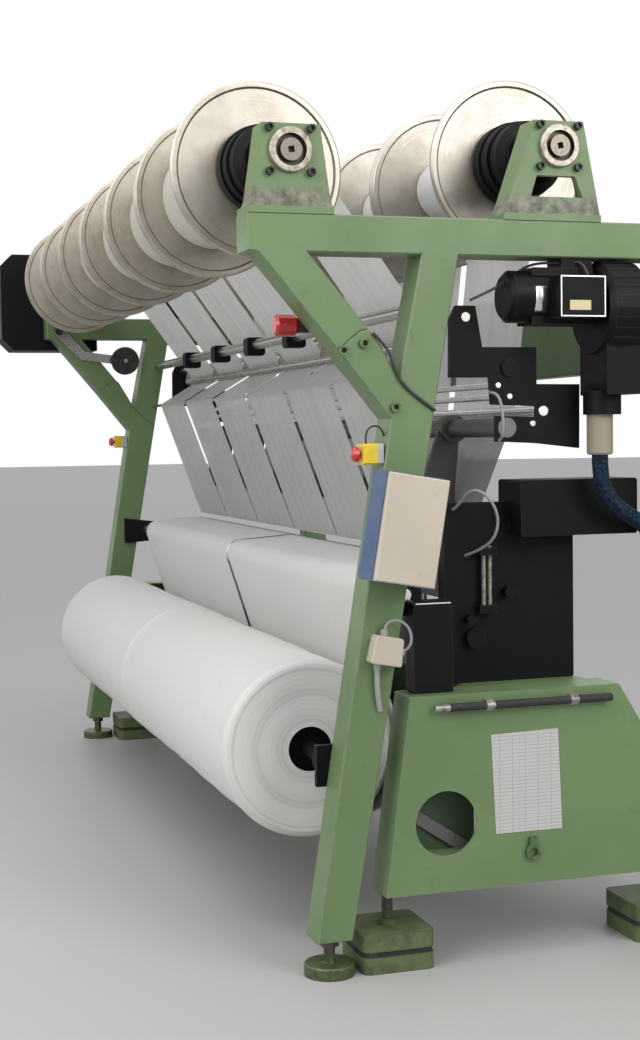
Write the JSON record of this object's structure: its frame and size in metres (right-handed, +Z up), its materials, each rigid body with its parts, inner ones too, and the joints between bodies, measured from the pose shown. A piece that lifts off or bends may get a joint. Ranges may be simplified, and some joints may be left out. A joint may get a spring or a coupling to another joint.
{
  "type": "warp knitting machine",
  "caption": "Tricot warp knitting machine with two sectional warp beams over a knitting bed, guide bars, take-down rollers and a cloth batch roll between leaning end frames.",
  "frame": {"origin": "on the floor under the middle of the machine's outline", "axes": "+X along the beams towards the operator's end, -Y towards the cloth side, +Z up"},
  "size_m": [4.528, 1.8198, 2.6995],
  "materials": {
    "green_paint": "semi-gloss",
    "spool_aluminium": "satin",
    "warp_yarn": "matt",
    "ground_steel": "satin",
    "black_paint": "semi-gloss",
    "black_rubber": "matt",
    "knitted_cloth": "matt",
    "roller_chrome": "polished",
    "cast_grey": "matt",
    "aluminium_bar": "satin",
    "cream_paint": "semi-gloss",
    "yellow_plastic": "gloss",
    "red_plastic": "gloss",
    "blue_hose": "matt"
  },
  "bodies": {
    "machine": {"front_legs": "green_paint", "rear_legs": "green_paint", "top_frames": "green_paint", "front_stands": "green_paint", "rear_stands": "green_paint", "saddle_plates": "green_paint", "bearing_housings": "ground_steel", "let_off_drives": "black_paint", "foot_pads": "green_paint", "foot_rubbers": "black_rubber", "foot_spindles": "ground_steel", "bed_sills": "green_paint", "machine_bed": "green_paint", "end_housing_near": "green_paint", "end_housing_far": "green_paint", "fabric_web": "knitted_cloth", "roller_brackets": "black_paint", "yarn_sheet_front": "warp_yarn", "yarn_sheet_rear": "warp_yarn", "side_plates": "black_paint", "rear_rails": "roller_chrome", "front_rods": "ground_steel", "clamp_blocks": "black_paint", "trick_bar": "cast_grey", "shaft_bearings": "ground_steel", "cross_beams": "green_paint", "control_cabinet": "cream_paint", "e_stop_boxes": "yellow_plastic", "junction_box": "cream_paint", "sensor_lamp": "red_plastic", "blower_motor": "black_paint", "blower_housing": "black_paint", "blower_pipe": "cream_paint", "suction_hose": "blue_hose", "drive_cases": "black_paint", "fasteners": "ground_steel"},
    "front_beam": {"front_beam_shaft": "ground_steel", "front_clamp_hubs": "black_paint", "front_spools": "spool_aluminium", "front_yarn_packages": "warp_yarn"},
    "rear_beam": {"rear_beam_shaft": "ground_steel", "rear_clamp_hubs": "black_paint", "rear_spools": "spool_aluminium", "rear_yarn_packages": "warp_yarn"},
    "batch": {"batch_roll": "knitted_cloth", "batch_shaft": "black_paint"},
    "guide_roll": {"guide_roller": "roller_chrome"},
    "upper_takedown": {"takedown_roller_upper": "black_rubber"},
    "lower_takedown": {"takedown_roller_lower": "black_rubber"},
    "swing": {"swing_shaft": "cast_grey"},
    "front_guides": {"guide_bar_front": "aluminium_bar"},
    "rear_guides": {"guide_bar_rear": "aluminium_bar"},
    "needles": {"needle_bar": "aluminium_bar"},
    "drive_shaft": {"main_shaft": "ground_steel"},
    "tension": {"tension_rail": "ground_steel"},
    "door": {"cabinet_door": "cream_paint"},
    "near_stop": {"e_stop_button_near": "red_plastic"},
    "far_stop": {"e_stop_button_far": "red_plastic"},
    "feeler": {"feeler_arm": "ground_steel"},
    "feeler_roll": {"feeler_wheel": "black_rubber"}
  },
  "joints": [
    {"name": "front_beam_turn", "type": "hinge", "parent": "machine", "child": "front_beam", "pos_m": [0.045, -0.562, 2.388], "axis": [1, 0, 0], "continuous": true},
    {"name": "rear_beam_turn", "type": "hinge", "parent": "machine", "child": "rear_beam", "pos_m": [0.045, 0.27, 2.432], "axis": [1, 0, 0], "continuous": true},
    {"name": "batch_turn", "type": "hinge", "parent": "machine", "child": "batch", "pos_m": [0.045, -0.411, 0.605], "axis": [1, 0, 0], "continuous": true},
    {"name": "guide_roller_turn", "type": "hinge", "parent": "machine", "child": "guide_roll", "pos_m": [0.045, -0.188, 1.102], "axis": [1, 0, 0], "continuous": true},
    {"name": "upper_takedown_turn", "type": "hinge", "parent": "machine", "child": "upper_takedown", "pos_m": [0.045, -0.042, 0.64], "axis": [1, 0, 0], "continuous": true},
    {"name": "lower_takedown_turn", "type": "hinge", "parent": "machine", "child": "lower_takedown", "pos_m": [0.045, -0.042, 0.498], "axis": [1, 0, 0], "continuous": true},
    {"name": "main_shaft_turn", "type": "hinge", "parent": "machine", "child": "drive_shaft", "pos_m": [0.045, 0.235, 0.7], "axis": [1, 0, 0], "continuous": true},
    {"name": "guide_swing", "type": "hinge", "parent": "machine", "child": "swing", "pos_m": [0.045, 0.15, 1.6], "axis": [1, 0, 0], "range_deg": [-3, 3]},
    {"name": "front_bar_shog", "type": "slide", "parent": "swing", "child": "front_guides", "axis": [1, 0, 0], "range_m": [-0.02, 0.02]},
    {"name": "rear_bar_shog", "type": "slide", "parent": "swing", "child": "rear_guides", "axis": [1, 0, 0], "range_m": [-0.02, 0.02]},
    {"name": "needle_lift", "type": "slide", "parent": "machine", "child": "needles", "axis": [0, 0, 1], "range_m": [-0.018, 0]},
    {"name": "tension_rock", "type": "hinge", "parent": "machine", "child": "tension", "pos_m": [0.045, 0.017, 1.934], "axis": [-1, 0, 0], "range_deg": [0, 4], "stiffness_Nm_per_rad": 60, "springref_deg": -5.73},
    {"name": "cabinet_door_hinge", "type": "hinge", "parent": "machine", "child": "door", "pos_m": [2.246, -0.381, 1.172], "axis": [0, -0.1644, -0.9864], "range_deg": [0, 110]},
    {"name": "near_stop_press", "type": "slide", "parent": "machine", "child": "near_stop", "axis": [0, 1, 0], "range_m": [0, 0.006], "stiffness_N_per_m": 800},
    {"name": "far_stop_press", "type": "slide", "parent": "machine", "child": "far_stop", "axis": [0, 1, 0], "range_m": [0, 0.006], "stiffness_N_per_m": 800},
    {"name": "feeler_lift", "type": "hinge", "parent": "machine", "child": "feeler", "pos_m": [-1.906, -0.632, 2.142], "axis": [1, 0, 0], "range_deg": [0, 25]},
    {"name": "feeler_wheel_turn", "type": "hinge", "parent": "feeler", "child": "feeler_roll", "pos_m": [-1.876, -0.293, 1.99], "axis": [1, 0, 0], "continuous": true}
  ],
  "couplings": [
    {"joint": "lower_takedown_turn", "follows": "upper_takedown_turn", "ratio": -1},
    {"joint": "guide_roller_turn", "follows": "upper_takedown_turn", "ratio": 1.0545}
  ]
}
